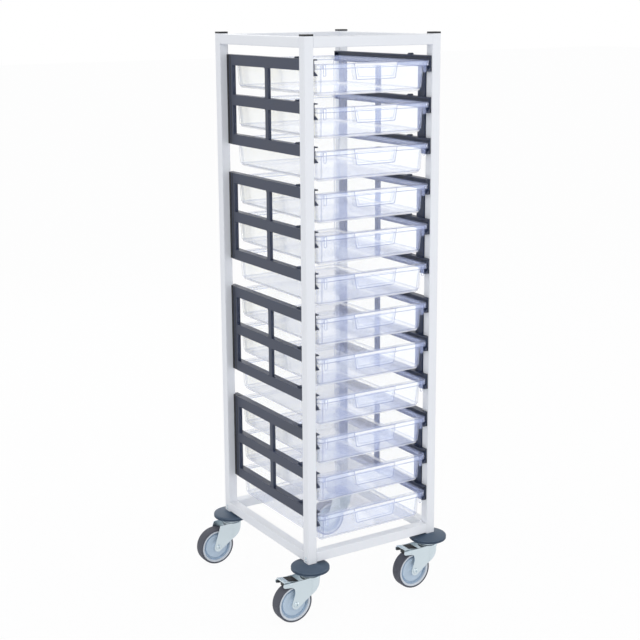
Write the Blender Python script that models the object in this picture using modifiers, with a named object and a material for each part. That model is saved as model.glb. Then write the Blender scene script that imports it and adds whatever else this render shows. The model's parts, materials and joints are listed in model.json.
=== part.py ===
# Dressing trolley: a tall square-tube frame on four swivel castors, with twelve clear trays that
# slide in moulded runner frames. Metres, +Z up, front at -Y, standing on z = 0.
import math

import bmesh
import bpy
from mathutils import Matrix

# Fits
SEAT_GAP = 0.0003
RUNNING_GAP = 0.0005
LAP = 0.001

# Trays
TRAY_COUNT = 12
TRAYS_PER_FRAME = 3
TRAY_PITCH = 0.1012
TRAY_WIDTH = 0.3284
TRAY_DEPTH = 0.427
TRAY_HEIGHT = 0.075
TRAY_WALL = 0.0022
TRAY_RIM_SIDE = 0.007
TRAY_RIM_END = 0.014
TRAY_RIM_DROP = 0.0125
TRAY_CORNER = 0.012
TRAY_CORNER_STEPS = 2
TRAY_DRAFT = 0.007
TRAY_BASE_EDGE = 0.004
TRAY_PROUD = 0.005
PULL_TOP_WIDTH = 0.127
PULL_BOTTOM_WIDTH = 0.113
PULL_HEIGHT = 0.040
PULL_PROUD = 0.0012
LUG_INSET = 0.0135
LUG_THICKNESS = 0.004
LUG_HEIGHT = 0.026

# Runner frames
RUNNER_HEIGHT = 0.027
RUNNER_FLANGE = 0.0032
RUNNER_WEB = 0.0035
RUNNER_LIP = 0.003
RUNNER_STEP = 0.0065
RIM_SIDE_PLAY = 0.003
WALL_PLAY = 0.0015
MOUTH_HEIGHT = 0.0388
MOUTH_SETBACK = 0.003
MOUTH_LEAD = 0.0075
STOP_THICKNESS = 0.003
BUMP_START = 0.076
BUMP_LENGTH = 0.016
BUMP_HEIGHT = 0.0045
FRONT_STILE = 0.030
MIDDLE_STILE = 0.0155
MIDDLE_STILE_PLACE = 0.209
REAR_STILE = 0.040
STILE_RECESS = 0.001
GROOVE_WIDTH = 0.009
GROOVE_DEPTH = 0.003

# Frame
TUBE = 0.025
TUBE_WALL = 0.0015
TUBE_CORNER = 0.0022
RAIL_INSET = 0.0025
TOP_ROOM = 0.0538
BASE_ROOM = 0.048
REAR_ROOM = 0.019
CAP_THICKNESS = 0.003
CAP_PLUG = 0.012
CAP_EDGE = 0.0008

# Castors
WHEEL_RADIUS = 0.050
WHEEL_WIDTH = 0.032
TREAD_DEPTH = 0.005
TREAD_SHOULDER = 0.004
RIM_HALF = 0.0145
RIM_DISH_HALF = 0.009
RIM_DISH_RADIUS = 0.0385
HUB_RADIUS = 0.013
HUB_HALF = 0.0175
AXLE_RADIUS = 0.005
AXLE_HEAD_RADIUS = 0.0075
AXLE_HEAD = 0.003
TRAIL = 0.054
CASTOR_HEIGHT = 0.122
FORK_SHEET = 0.0025
FORK_PLAY = 0.0015
FORK_EYE = 0.0125
FORK_NOSE = 0.026
LEG_TOP = 0.046
LEG_WAIST = 0.056
LEG_WAIST_HEIGHT = 0.082
KNEE_BACK = 0.006
KNEE_HEIGHT = 0.065
NOSE_CURVE_HEIGHT = 0.080
CROWN_RADIUS = 0.026
CROWN_THICKNESS = 0.008
RACE_RADIUS = 0.024
RACE_THICKNESS = 0.009
KING_PIN_RADIUS = 0.006
RIVET_RADIUS = 0.010
RIVET_THICKNESS = 0.0025
STEM_PLUG = 0.040
BUMPER_RADIUS = 0.049
BUMPER_THICKNESS = 0.020
BUMPER_EDGE = 0.008
BRAKE_PIN_RADIUS = 0.003
BRAKE_PIN_OUT = 0.016
BRAKE_PIN_RISE = 0.0075
BARREL_WALL = 0.002
BARREL_INSET = 0.001
PEDAL_INNER = 0.026
PEDAL_OUTER = 0.018
PEDAL_SHEET = 0.0025
PEDAL_TILT = math.radians(9)
SHOE_GAP = 0.005
SHOE_LENGTH = 0.010
SHOE_REACH = 0.008
ARM_END = 0.090
ARM_ROOT = 0.060
ARM_DEPTH = 0.014
ARM_TAPER = 0.004

# Facets round a turn
WHEEL_STEPS = 24
BUMPER_STEPS = 16
CROWN_STEPS = 16
NOSE_STEPS = 6
PIN_STEPS = 8
ARC_STEPS = 4

# Worked out from the trays outwards
FRAME_WIDTH = TRAY_WIDTH + 2 * (RIM_SIDE_PLAY + RUNNER_WEB + SEAT_GAP + TUBE)
FRAME_DEPTH = TRAY_DEPTH - TRAY_PROUD + REAR_ROOM
HALF_WIDTH = FRAME_WIDTH / 2
HALF_DEPTH = FRAME_DEPTH / 2
POST_X = HALF_WIDTH - TUBE / 2
POST_Y = HALF_DEPTH - TUBE / 2
POST_BOTTOM = CASTOR_HEIGHT + BUMPER_THICKNESS + 2 * SEAT_GAP
RIM_BELOW_RUNNER = RUNNER_HEIGHT - RUNNER_FLANGE - SEAT_GAP - TRAY_RIM_DROP
LAST_TRAY_DROP = TOP_ROOM + (TRAY_COUNT - 1) * TRAY_PITCH + RIM_BELOW_RUNNER + TRAY_HEIGHT
POST_LENGTH = LAST_TRAY_DROP + BASE_ROOM
POST_TOP = POST_BOTTOM + POST_LENGTH
TRAY_FRONT = -HALF_DEPTH - TRAY_PROUD
BODY_WIDTH = TRAY_WIDTH - 2 * TRAY_RIM_SIDE
BODY_DEPTH = TRAY_DEPTH - 2 * TRAY_RIM_END
# The castors trail to the left, so the frame stands right of the middle of the footprint.
FRAME_SHIFT = (TRAIL + WHEEL_RADIUS - BUMPER_RADIUS) / 2

CORNERS = {"front_left": (-1, -1), "front_right": (1, -1), "rear_left": (-1, 1), "rear_right": (1, 1)}
BRAKED = ("front_left", "front_right")

# Profiles drawn in (x, z) run along y, those drawn in (y, z) run along x.
ALONG_Y = Matrix.Rotation(math.pi / 2, 4, "X")
ALONG_X = Matrix(((0, 0, 1, 0), (1, 0, 0, 0), (0, 1, 0, 0), (0, 0, 0, 1)))
ALONG_Z = Matrix.Identity(4)


def clear_scene():
    for obj in list(bpy.data.objects):
        bpy.data.objects.remove(obj, do_unlink=True)


def new_collection(name):
    collection = bpy.data.collections.new(name)
    bpy.context.scene.collection.children.link(collection)
    return collection


def make_material(name, colour, roughness, metallic=0.0, transmission=0.0):
    material = bpy.data.materials.new(name)
    material.use_nodes = True
    shader = material.node_tree.nodes["Principled BSDF"]
    shader.inputs["Base Color"].default_value = (*colour, 1.0)
    shader.inputs["Roughness"].default_value = roughness
    shader.inputs["Metallic"].default_value = metallic
    shader.inputs["Transmission Weight"].default_value = transmission
    material.diffuse_color = (*colour, 1.0)
    return material


def arc(centre, radius, start, end, steps=ARC_STEPS):
    """Points on a circle from start to end, both in degrees."""
    angles = [math.radians(start + (end - start) * i / steps) for i in range(steps + 1)]
    return [(centre[0] + radius * math.cos(a), centre[1] + radius * math.sin(a)) for a in angles]


def bend(start, pull, end, steps=ARC_STEPS):
    """Points on a smooth curve from start to end that leaves and arrives aiming at the pull point."""
    shares = [i / steps for i in range(steps + 1)]
    return [tuple((1 - t) ** 2 * a + 2 * t * (1 - t) * b + t * t * c for a, b, c in zip(start, pull, end))
            for t in shares]


def loose_piece(name, mesh):
    """A construction solid, used up when it is fused or cut."""
    obj = bpy.data.objects.new(name, mesh)
    construction.objects.link(obj)
    return obj


def take_mesh(obj):
    """The object's shape with its modifiers, as a welded mesh. The object itself is removed."""
    bpy.context.view_layer.update()
    graph = bpy.context.evaluated_depsgraph_get()
    mesh = bpy.data.meshes.new_from_object(obj.evaluated_get(graph))
    bm = bmesh.new()
    bm.from_mesh(mesh)
    bmesh.ops.remove_doubles(bm, verts=bm.verts, dist=1e-6)
    bmesh.ops.recalc_face_normals(bm, faces=bm.faces)
    bm.to_mesh(mesh)
    bm.free()
    bpy.data.objects.remove(obj, do_unlink=True)
    return mesh


def box(name, low, high):
    size = [b - a for a, b in zip(low, high)]
    middle = [(a + b) / 2 for a, b in zip(low, high)]
    bm = bmesh.new()
    bmesh.ops.create_cube(bm, size=1, matrix=Matrix.Translation(middle) @ Matrix.Diagonal((*size, 1)))
    mesh = bpy.data.meshes.new(name)
    bm.to_mesh(mesh)
    bm.free()
    return loose_piece(name, mesh)


def outline_solid(name, outlines, start, end, direction):
    """Flat outlines (later ones are holes) pushed from start to end along the direction's axis."""
    curve = bpy.data.curves.new(name, "CURVE")
    curve.dimensions = "2D"
    curve.fill_mode = "BOTH"
    curve.extrude = (end - start) / 2
    for points in outlines:
        spline = curve.splines.new("POLY")
        spline.points.add(len(points) - 1)
        for point, (a, b) in zip(spline.points, points):
            point.co = (a, b, 0, 1)
        spline.use_cyclic_u = True
    obj = bpy.data.objects.new(name, curve)
    construction.objects.link(obj)
    mesh = take_mesh(obj)
    bpy.data.curves.remove(curve)
    sign = -1 if direction is ALONG_Y else 1
    mesh.transform(direction @ Matrix.Translation((0, 0, sign * (start + end) / 2)))
    return loose_piece(name, mesh)


def turned(name, profile, steps, flat_side=False):
    """A closed profile of (radius, height) points turned about Z, listed down its outer side."""
    bm = bmesh.new()
    verts = [bm.verts.new((radius, 0, height)) for radius, height in profile]
    for i, vert in enumerate(verts):
        bm.edges.new((vert, verts[(i + 1) % len(verts)]))
    mesh = bpy.data.meshes.new(name)
    bm.to_mesh(mesh)
    bm.free()
    obj = loose_piece(name, mesh)
    screw = obj.modifiers.new("turn", "SCREW")
    screw.axis = "Z"
    screw.steps = steps
    screw.render_steps = steps
    screw.use_merge_vertices = True
    screw.merge_threshold = 0.00001
    shape = take_mesh(obj)
    if flat_side:
        shape.transform(Matrix.Rotation(math.pi / steps, 4, "Z"))
    return loose_piece(name, shape)


def rod(name, radius, start, end, steps=PIN_STEPS):
    """A round bar along y."""
    bm = bmesh.new()
    place = Matrix.Translation((0, (start + end) / 2, 0)) @ Matrix.Rotation(math.pi / 2, 4, "X")
    bmesh.ops.create_cone(bm, cap_ends=True, segments=steps, radius1=radius, radius2=radius,
                          depth=end - start, matrix=place)
    mesh = bpy.data.meshes.new(name)
    bm.to_mesh(mesh)
    bm.free()
    return loose_piece(name, mesh)


def moved(obj, x=0.0, y=0.0, z=0.0):
    obj.data.transform(Matrix.Translation((x, y, z)))
    return obj


def settle(mesh):
    """Put every corner on a whole micrometre, so that faces meant to meet do meet exactly."""
    for vert in mesh.vertices:
        vert.co = [round(value, 6) for value in vert.co]


def combine(pieces, operation="UNION"):
    """Fuse the later pieces with the first one, or cut them out of it, and give the mesh."""
    for piece in pieces:
        settle(piece.data)
    base, *others = pieces
    for other in others:
        boolean = base.modifiers.new(other.name, "BOOLEAN")
        boolean.operation = operation
        boolean.solver = "EXACT"
        boolean.object = other
    mesh = take_mesh(base)
    for other in others:
        bpy.data.objects.remove(other, do_unlink=True)
    bm = bmesh.new()
    bm.from_mesh(mesh)
    bmesh.ops.dissolve_degenerate(bm, edges=bm.edges, dist=1e-6)
    bmesh.ops.dissolve_limit(bm, angle_limit=0.001, verts=bm.verts, edges=bm.edges)
    bm.to_mesh(mesh)
    bm.free()
    return mesh


def shade(mesh, angle=35):
    mesh.shade_smooth()
    mesh.set_sharp_from_angle(angle=math.radians(angle))
    return mesh


def mirrored(mesh):
    copy = mesh.copy()
    copy.transform(Matrix.Scale(-1, 4, (1, 0, 0)))
    copy.flip_normals()
    return copy


def add_node(name, mesh, material, parent, location=(0, 0, 0)):
    obj = bpy.data.objects.new(name, mesh)
    trolley.objects.link(obj)
    if not mesh.materials:
        mesh.materials.append(material)
    obj.parent = parent
    obj.location = location
    return obj


def add_empty(name, parent, location):
    empty = bpy.data.objects.new(name, None)
    trolley.objects.link(empty)
    empty.parent = parent
    empty.location = location
    return empty


# Square tube: a rounded outline with a square bore, from start to end along one axis
def square_tube(name, length, direction):
    half = TUBE / 2
    inner = half - TUBE_CORNER
    outline = []
    for quarter, (sx, sy) in enumerate(((1, 1), (-1, 1), (-1, -1), (1, -1))):
        outline += arc((sx * inner, sy * inner), TUBE_CORNER, 90 * quarter, 90 * quarter + 90, 2)
    bore = half - TUBE_WALL
    hole = [(bore, bore), (-bore, bore), (-bore, -bore), (bore, -bore)]
    piece = outline_solid(name, (outline, hole), -length / 2, length / 2, direction)
    return shade(take_mesh(piece))


def cap_mesh():
    """A square cap with softened edges on a plug that fits the tube's bore."""
    half = TUBE / 2
    plug = half - TUBE_WALL - SEAT_GAP
    plate = box("cap_plate", (-half, -half, 0), (half, half, CAP_THICKNESS))
    bm = bmesh.new()
    bm.from_mesh(plate.data)
    top_edges = [e for e in bm.edges if all(v.co.z > CAP_THICKNESS / 2 for v in e.verts)]
    bmesh.ops.bevel(bm, geom=top_edges, offset=CAP_EDGE, segments=1, affect="EDGES")
    bm.to_mesh(plate.data)
    bm.free()
    stub = box("cap_plug", (-plug, -plug, -CAP_PLUG), (plug, plug, CAP_THICKNESS / 2))
    return combine([plate, stub])


# Tray: a drafted open box with round corners and a turned-down rim, thickened as a shell
def tray_shell():
    bm = bmesh.new()
    top = TRAY_HEIGHT - TRAY_WALL
    size = Matrix.Diagonal((BODY_WIDTH, BODY_DEPTH, top, 1))
    bmesh.ops.create_cube(bm, size=1, matrix=Matrix.Translation((0, 0, top / 2)) @ size)
    for vert in bm.verts:
        if vert.co.z < top / 2:
            vert.co.x -= math.copysign(TRAY_DRAFT, vert.co.x)
            vert.co.y -= math.copysign(TRAY_DRAFT, vert.co.y)
    upright = [e for e in bm.edges if abs(e.verts[0].co.z - e.verts[1].co.z) > top / 2]
    bmesh.ops.bevel(bm, geom=upright, offset=TRAY_CORNER, segments=TRAY_CORNER_STEPS, profile=0.5,
                    affect="EDGES")
    base = [e for e in bm.edges if all(v.co.z < top / 2 for v in e.verts)]
    bmesh.ops.bevel(bm, geom=base, offset=TRAY_BASE_EDGE, segments=1, affect="EDGES")
    lid = [f for f in bm.faces if all(v.co.z > top - 1e-6 for v in f.verts)]
    bmesh.ops.delete(bm, geom=lid, context="FACES")
    brim = [e for e in bm.edges if e.is_boundary]
    flange = bmesh.ops.extrude_edge_only(bm, edges=brim)["geom"]
    spread = ((TRAY_WIDTH - 2 * TRAY_WALL) / BODY_WIDTH, (TRAY_DEPTH - 2 * TRAY_WALL) / BODY_DEPTH, 1)
    bmesh.ops.scale(bm, vec=spread, verts=[g for g in flange if isinstance(g, bmesh.types.BMVert)])
    edge = [g for g in flange if isinstance(g, bmesh.types.BMEdge)]
    skirt = bmesh.ops.extrude_edge_only(bm, edges=edge)["geom"]
    drop = (0, 0, TRAY_WALL - TRAY_RIM_DROP)
    bmesh.ops.translate(bm, vec=drop, verts=[g for g in skirt if isinstance(g, bmesh.types.BMVert)])
    bmesh.ops.recalc_face_normals(bm, faces=bm.faces)
    floor = min(bm.faces, key=lambda f: f.calc_center_median().z)
    if floor.normal.z > 0:
        bmesh.ops.reverse_faces(bm, faces=bm.faces)
    mesh = bpy.data.meshes.new("tray_sheet")
    bm.to_mesh(mesh)
    bm.free()
    sheet = loose_piece("tray_sheet", mesh)
    thicken = sheet.modifiers.new("wall", "SOLIDIFY")
    thicken.thickness = TRAY_WALL
    thicken.offset = -1
    thicken.solidify_mode = "NON_MANIFOLD"
    thicken.nonmanifold_thickness_mode = "CONSTRAINTS"
    return loose_piece("tray", take_mesh(sheet))


def wall_line(depth):
    """How far the middle of the front wall lies behind the rim's front edge, this far below the top."""
    fall = TRAY_DRAFT * depth / (TRAY_HEIGHT - TRAY_WALL)
    return TRAY_RIM_END + TRAY_WALL / 2 + fall


def pull_cheek(side):
    """One side wall of the pull, from the front panel back to the drafted front wall."""
    front = -TRAY_DEPTH / 2 - PULL_PROUD + TRAY_WALL / 2
    top = TRAY_WALL / 2
    outline = [(front, TRAY_HEIGHT - PULL_HEIGHT), (front, TRAY_HEIGHT - top),
               (wall_line(top) - TRAY_DEPTH / 2, TRAY_HEIGHT - top),
               (wall_line(PULL_HEIGHT) - TRAY_DEPTH / 2, TRAY_HEIGHT - PULL_HEIGHT)]
    cheek = outline_solid("pull_cheek", (outline,), -TRAY_WALL / 2, TRAY_WALL / 2, ALONG_X)
    lean = math.atan2((PULL_TOP_WIDTH - PULL_BOTTOM_WIDTH) / 2, PULL_HEIGHT)
    middle = (PULL_TOP_WIDTH + PULL_BOTTOM_WIDTH) / 4 - TRAY_WALL
    height = TRAY_HEIGHT - PULL_HEIGHT / 2
    turn = Matrix.Rotation(side * lean, 4, "Y") @ Matrix.Translation((0, 0, -height))
    cheek.data.transform(Matrix.Translation((side * middle, 0, height)) @ turn)
    return cheek


def corner_lug(side):
    """A small web under the front rim, near the corner."""
    x = side * (BODY_WIDTH / 2 - LUG_INSET)
    front = TRAY_WALL / 2 - TRAY_DEPTH / 2
    top = TRAY_HEIGHT - TRAY_WALL / 2
    outline = [(front, top), (wall_line(0) - TRAY_DEPTH / 2, top),
               (wall_line(LUG_HEIGHT) - TRAY_DEPTH / 2, TRAY_HEIGHT - LUG_HEIGHT),
               (front, TRAY_HEIGHT - TRAY_RIM_DROP)]
    return outline_solid("corner_lug", (outline,), x - LUG_THICKNESS / 2, x + LUG_THICKNESS / 2, ALONG_X)


def tray_mesh():
    """The tray, standing on z = 0 with its rim centred on x = 0, y = 0."""
    half_top = PULL_TOP_WIDTH / 2
    half_bottom = PULL_BOTTOM_WIDTH / 2
    low = TRAY_HEIGHT - PULL_HEIGHT
    panel = [(-half_bottom, low), (half_bottom, low), (half_top, TRAY_HEIGHT), (-half_top, TRAY_HEIGHT)]
    front = -TRAY_DEPTH / 2 - PULL_PROUD
    pieces = [tray_shell(), outline_solid("pull", (panel,), front, front + TRAY_WALL, ALONG_Y)]
    for side in (-1, 1):
        pieces += [pull_cheek(side), corner_lug(side)]
    return shade(combine(pieces))


# Runner frame, right-hand side: three channels that hold the tray rims, joined by three stiles
def runner_mesh():
    """Drawn in the trolley's own x and y, with z = 0 on the top of the highest channel."""
    tip = BODY_WIDTH / 2 + WALL_PLAY
    web = TRAY_WIDTH / 2 + RIM_SIDE_PLAY
    back = web + RUNNER_WEB
    lip = HALF_WIDTH - TUBE + RUNNER_STEP
    height = RUNNER_HEIGHT
    sheet = RUNNER_FLANGE
    start = -HALF_DEPTH + TUBE + SEAT_GAP
    end = HALF_DEPTH - TUBE - SEAT_GAP
    mouth = -HALF_DEPTH + MOUTH_SETBACK
    stop = TRAY_FRONT + TRAY_DEPTH + SEAT_GAP
    channel = [(tip, 0), (back, 0), (back, -height), (tip, -height), (tip, sheet - height),
               (web, sheet - height), (web, -sheet), (tip, -sheet)]
    section = [(tip, 0), (lip, 0), (lip, -height), (lip - RUNNER_LIP, -height), (lip - RUNNER_LIP, -sheet),
               (back, -sheet)] + channel[2:]
    ramp = [(mouth, -MOUTH_HEIGHT), (start + LAP, -MOUTH_HEIGHT), (start + LAP, sheet - height),
            (mouth, MOUTH_LEAD - MOUTH_HEIGHT)]
    bump_start = -HALF_DEPTH + BUMP_START
    bump_end = bump_start + BUMP_LENGTH
    bump = [(bump_start, -LAP), (bump_end, -LAP), (bump_end - LAP - BUMP_HEIGHT, BUMP_HEIGHT),
            (bump_start, BUMP_HEIGHT)]
    column = end - REAR_STILE
    pieces = []
    for row in range(TRAYS_PER_FRAME):
        parts = [
            outline_solid("section", (section,), start, column + LAP, ALONG_Y),
            outline_solid("tail", (channel,), column, stop + STOP_THICKNESS, ALONG_Y),
            box("stop", (tip, stop, -height), (back, stop + STOP_THICKNESS, 0)),
            box("mouth_top", (tip, mouth, -sheet), (back, start + LAP, 0)),
            box("mouth_web", (web, mouth, -MOUTH_HEIGHT), (back, start + LAP, 0)),
            outline_solid("mouth_ramp", (ramp,), tip, back, ALONG_X),
            outline_solid("bump", (bump,), tip + LAP, back - LAP, ALONG_X),
        ]
        pieces += [moved(part, z=-row * TRAY_PITCH) for part in parts]
    face = lip - STILE_RECESS
    root = back - LAP
    low = LAP - (TRAYS_PER_FRAME - 1) * TRAY_PITCH - height
    high = -sheet / 2
    middle = -HALF_DEPTH + MIDDLE_STILE_PLACE
    groove = end - REAR_STILE / 2 - GROOVE_WIDTH / 2
    rear = [(root, column), (face, column), (face, groove), (face - GROOVE_DEPTH, groove),
            (face - GROOVE_DEPTH, groove + GROOVE_WIDTH), (face, groove + GROOVE_WIDTH), (face, end), (root, end)]
    pieces.append(box("front_stile", (root, start, low), (face, start + FRONT_STILE, high)))
    half_middle = MIDDLE_STILE / 2
    pieces.append(box("middle_stile", (root, middle - half_middle, low), (face, middle + half_middle, high)))
    pieces.append(outline_solid("rear_stile", (rear,), low, -LAP, ALONG_Z))
    return combine(pieces)


# Castor parts, drawn with the swivel axis on x = 0, y = 0 and the floor on z = 0, trailing to -x
def bumper_mesh():
    """A round disc with full rounded edges, bored for the stem."""
    bore = KING_PIN_RADIUS + RUNNING_GAP
    middle = BUMPER_RADIUS - BUMPER_EDGE
    upper = arc((middle, BUMPER_THICKNESS - BUMPER_EDGE), BUMPER_EDGE, 90, 0, 2)
    lower = arc((middle, BUMPER_EDGE), BUMPER_EDGE, 0, -90, 2)
    profile = [(bore, BUMPER_THICKNESS)] + upper + lower + [(bore, 0)]
    return shade(take_mesh(turned("bumper", profile, BUMPER_STEPS)), 60)


def head_mesh():
    """Fixed head: race, king pin with its rivet below, stem and square plug for the tube above."""
    race_low = CASTOR_HEIGHT - SEAT_GAP - RACE_THICKNESS
    race_high = CASTOR_HEIGHT - SEAT_GAP
    crown_low = race_low - SEAT_GAP - CROWN_THICKNESS
    rivet_high = crown_low - SEAT_GAP
    stem_top = POST_BOTTOM + STEM_PLUG / 2
    profile = [(0.0, stem_top), (KING_PIN_RADIUS, stem_top), (KING_PIN_RADIUS, race_high),
               (RACE_RADIUS, race_high), (RACE_RADIUS, race_low), (KING_PIN_RADIUS, race_low),
               (KING_PIN_RADIUS, rivet_high), (RIVET_RADIUS, rivet_high),
               (RIVET_RADIUS, rivet_high - RIVET_THICKNESS), (0.0, rivet_high - RIVET_THICKNESS)]
    half = TUBE / 2 - TUBE_WALL - SEAT_GAP
    plug = box("plug", (-half, -half, POST_BOTTOM + SEAT_GAP), (half, half, POST_BOTTOM + STEM_PLUG))
    return shade(combine([turned("head", profile, CROWN_STEPS), plug]))


def crown_top():
    return CASTOR_HEIGHT - 2 * SEAT_GAP - RACE_THICKNESS


def cheek_outline(braked):
    """Side view of the fork in (x, z): round the axle eye, up the nose, back to the leg or the pedal arm."""
    top = crown_top() - LAP
    front = FORK_NOSE + LAP
    knee = (-KNEE_BACK, KNEE_HEIGHT)
    outline = arc((-TRAIL, WHEEL_RADIUS), FORK_EYE, 165, 318)
    outline += bend(knee, (front, NOSE_CURVE_HEIGHT), (front, top))
    if braked:
        low = top - ARM_DEPTH
        outline += [(-ARM_END, top), (-ARM_END, low + ARM_TAPER), (-ARM_ROOT, low)]
        outline += [(-LEG_WAIST, LEG_WAIST_HEIGHT)]
    else:
        outline += [(-LEG_TOP, top)]
    return outline


def fork_walls(braked):
    """The pressed sheet: a U in plan, rounded at the nose, trimmed to the side view."""
    inner = fork_half()
    outer = inner + FORK_SHEET
    bend_x = FORK_NOSE - outer
    back = -ARM_END - LAP
    plan = [(back, -outer)] + arc((bend_x, 0), outer, -90, 90, NOSE_STEPS) + [(back, outer), (back, inner)]
    plan += arc((bend_x, 0), inner, 90, -90, NOSE_STEPS) + [(back, -inner)]
    sheet = outline_solid("fork_sheet", (plan,), 0, CASTOR_HEIGHT, ALONG_Z)
    reach = outer + LAP
    side = outline_solid("fork_side", (cheek_outline(braked),), -reach, reach, ALONG_Y)
    return loose_piece("fork_walls", combine([sheet, side], "INTERSECT"))


def brake_pin_place():
    """Pedal pin, behind and above the wheel's top, in (x, z)."""
    return -TRAIL - BRAKE_PIN_OUT, 2 * WHEEL_RADIUS + BRAKE_PIN_RISE


def fork_half():
    """Inner face of a fork cheek, from the wheel's middle plane."""
    return HUB_HALF + FORK_PLAY


def fork_mesh(braked):
    crown_low = crown_top() - CROWN_THICKNESS
    bore = KING_PIN_RADIUS + RUNNING_GAP
    soft = CROWN_THICKNESS / 4
    ring = [(bore, crown_top()), (CROWN_RADIUS - soft, crown_top()), (CROWN_RADIUS, crown_top() - soft),
            (CROWN_RADIUS, crown_low), (bore, crown_low)]
    outer = fork_half() + FORK_SHEET
    axle = moved(rod("axle", AXLE_RADIUS, -outer, outer), x=-TRAIL, z=WHEEL_RADIUS)
    heads = []
    for low in (outer - FORK_SHEET / 2, -outer - AXLE_HEAD):
        head = rod("axle_head", AXLE_HEAD_RADIUS, low, low + AXLE_HEAD + FORK_SHEET / 2)
        heads.append(moved(head, x=-TRAIL, z=WHEEL_RADIUS))
    crown = turned("crown", ring, CROWN_STEPS)
    whole = loose_piece("fork", combine([fork_walls(braked), crown, axle, *heads]))
    if not braked:
        return shade(take_mesh(whole))
    pin_x, pin_z = brake_pin_place()
    reach = outer + FORK_SHEET
    hole = moved(rod("pin_hole", BRAKE_PIN_RADIUS + SEAT_GAP, -reach, reach), x=pin_x, z=pin_z)
    return shade(combine([whole, hole], "DIFFERENCE"))


def tyre_mesh():
    """A tyre with soft shoulders, turned about y, with a flat side down so that it stands still."""
    outer = WHEEL_RADIUS / math.cos(math.pi / WHEEL_STEPS)
    half = WHEEL_WIDTH / 2
    seat = WHEEL_RADIUS - TREAD_DEPTH
    profile = [(seat, RIM_HALF), (outer - TREAD_SHOULDER, half), (outer, half - TREAD_SHOULDER),
               (outer, TREAD_SHOULDER - half), (outer - TREAD_SHOULDER, -half), (seat, -RIM_HALF)]
    mesh = take_mesh(turned("tyre", profile, WHEEL_STEPS, flat_side=True))
    mesh.transform(Matrix.Rotation(math.pi / 2, 4, "X"))
    return shade(mesh, 50)


def rim_mesh():
    """A dished wheel centre with a hub, turned about y."""
    seat = WHEEL_RADIUS - TREAD_DEPTH - SEAT_GAP
    bore = AXLE_RADIUS + SEAT_GAP
    upper = [(bore, HUB_HALF), (HUB_RADIUS, HUB_HALF), (RIM_DISH_RADIUS, RIM_DISH_HALF), (seat, RIM_HALF)]
    lower = [(radius, -half) for radius, half in reversed(upper)]
    mesh = take_mesh(turned("rim", upper + lower, WHEEL_STEPS, flat_side=True))
    mesh.transform(Matrix.Rotation(math.pi / 2, 4, "X"))
    return shade(mesh, 30)


def pedal_mesh():
    """Brake pedal about its pin on y: a plate with a turned-down end, a barrel and the brake shoe."""
    bore = BRAKE_PIN_RADIUS + SEAT_GAP
    barrel = bore + BARREL_WALL
    half = fork_half() - FORK_PLAY
    low = barrel - PEDAL_SHEET / 2
    plate = [(-PEDAL_OUTER, low), (PEDAL_INNER, low), (PEDAL_INNER, low + PEDAL_SHEET),
             (-PEDAL_OUTER, low + PEDAL_SHEET), (-PEDAL_OUTER - PEDAL_SHEET, low),
             (-PEDAL_OUTER - PEDAL_SHEET, low - PEDAL_SHEET), (-PEDAL_OUTER, low - PEDAL_SHEET)]
    pin_x, pin_z = brake_pin_place()
    clear = WHEEL_RADIUS + SHOE_GAP
    shoe_in = -SHOE_REACH
    shoe_out = shoe_in - SHOE_LENGTH

    def tyre_height(x):
        return WHEEL_RADIUS + math.sqrt(clear ** 2 - (pin_x + x + TRAIL) ** 2) - pin_z

    tilt = Matrix.Rotation(PEDAL_TILT, 4, "Y")
    rise = math.tan(PEDAL_TILT)
    shoe = [(shoe_in, tyre_height(shoe_in)), (shoe_in, barrel - rise * shoe_in),
            (shoe_out, barrel - rise * shoe_out), (shoe_out, tyre_height(shoe_out))]
    shoe_half = WHEEL_WIDTH / 2 - TREAD_SHOULDER
    sheet = outline_solid("pedal", (plate,), -half, half, ALONG_Y)
    sheet.data.transform(tilt)
    pieces = [sheet, outline_solid("shoe", (shoe,), -shoe_half, shoe_half, ALONG_Y),
              rod("barrel", barrel, BARREL_INSET - half, half - BARREL_INSET)]
    whole = loose_piece("pedal", combine(pieces))
    return shade(combine([whole, rod("bore", bore, -2 * half, 2 * half)], "DIFFERENCE"))


def brake_pin_mesh():
    reach = fork_half() + FORK_SHEET + SEAT_GAP
    return shade(take_mesh(rod("brake_pin", BRAKE_PIN_RADIUS, -reach, reach)))


def build_frame(root):
    post = square_tube("post", POST_LENGTH, ALONG_Z)
    cap = cap_mesh()
    for name, (side, end) in CORNERS.items():
        x = side * POST_X
        y = end * POST_Y
        add_node("post_" + name, post, steel, root, (x, y, POST_BOTTOM + POST_LENGTH / 2))
        add_node("end_cap_" + name, cap, black_plastic, root, (x, y, POST_TOP + SEAT_GAP))
    cross = square_tube("cross_rail", FRAME_WIDTH - 2 * (TUBE + SEAT_GAP), ALONG_X)
    side_rail = square_tube("side_rail", FRAME_DEPTH - 2 * (TUBE + SEAT_GAP), ALONG_Y)
    levels = {"top": POST_TOP - RAIL_INSET - TUBE / 2, "bottom": POST_BOTTOM + RAIL_INSET + TUBE / 2}
    for level, z in levels.items():
        add_node(level + "_rail_front", cross, steel, root, (0, -POST_Y, z))
        add_node(level + "_rail_rear", cross, steel, root, (0, POST_Y, z))
        add_node(level + "_rail_left", side_rail, steel, root, (-POST_X, 0, z))
        add_node(level + "_rail_right", side_rail, steel, root, (POST_X, 0, z))


def build_runners(root):
    right = runner_mesh()
    left = mirrored(right)
    for frame in range(TRAY_COUNT // TRAYS_PER_FRAME):
        z = POST_TOP - TOP_ROOM - frame * TRAYS_PER_FRAME * TRAY_PITCH
        add_node(f"runner_frame_left_{frame + 1}", left, anthracite, root, (0, 0, z))
        add_node(f"runner_frame_right_{frame + 1}", right, anthracite, root, (0, 0, z))


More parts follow.
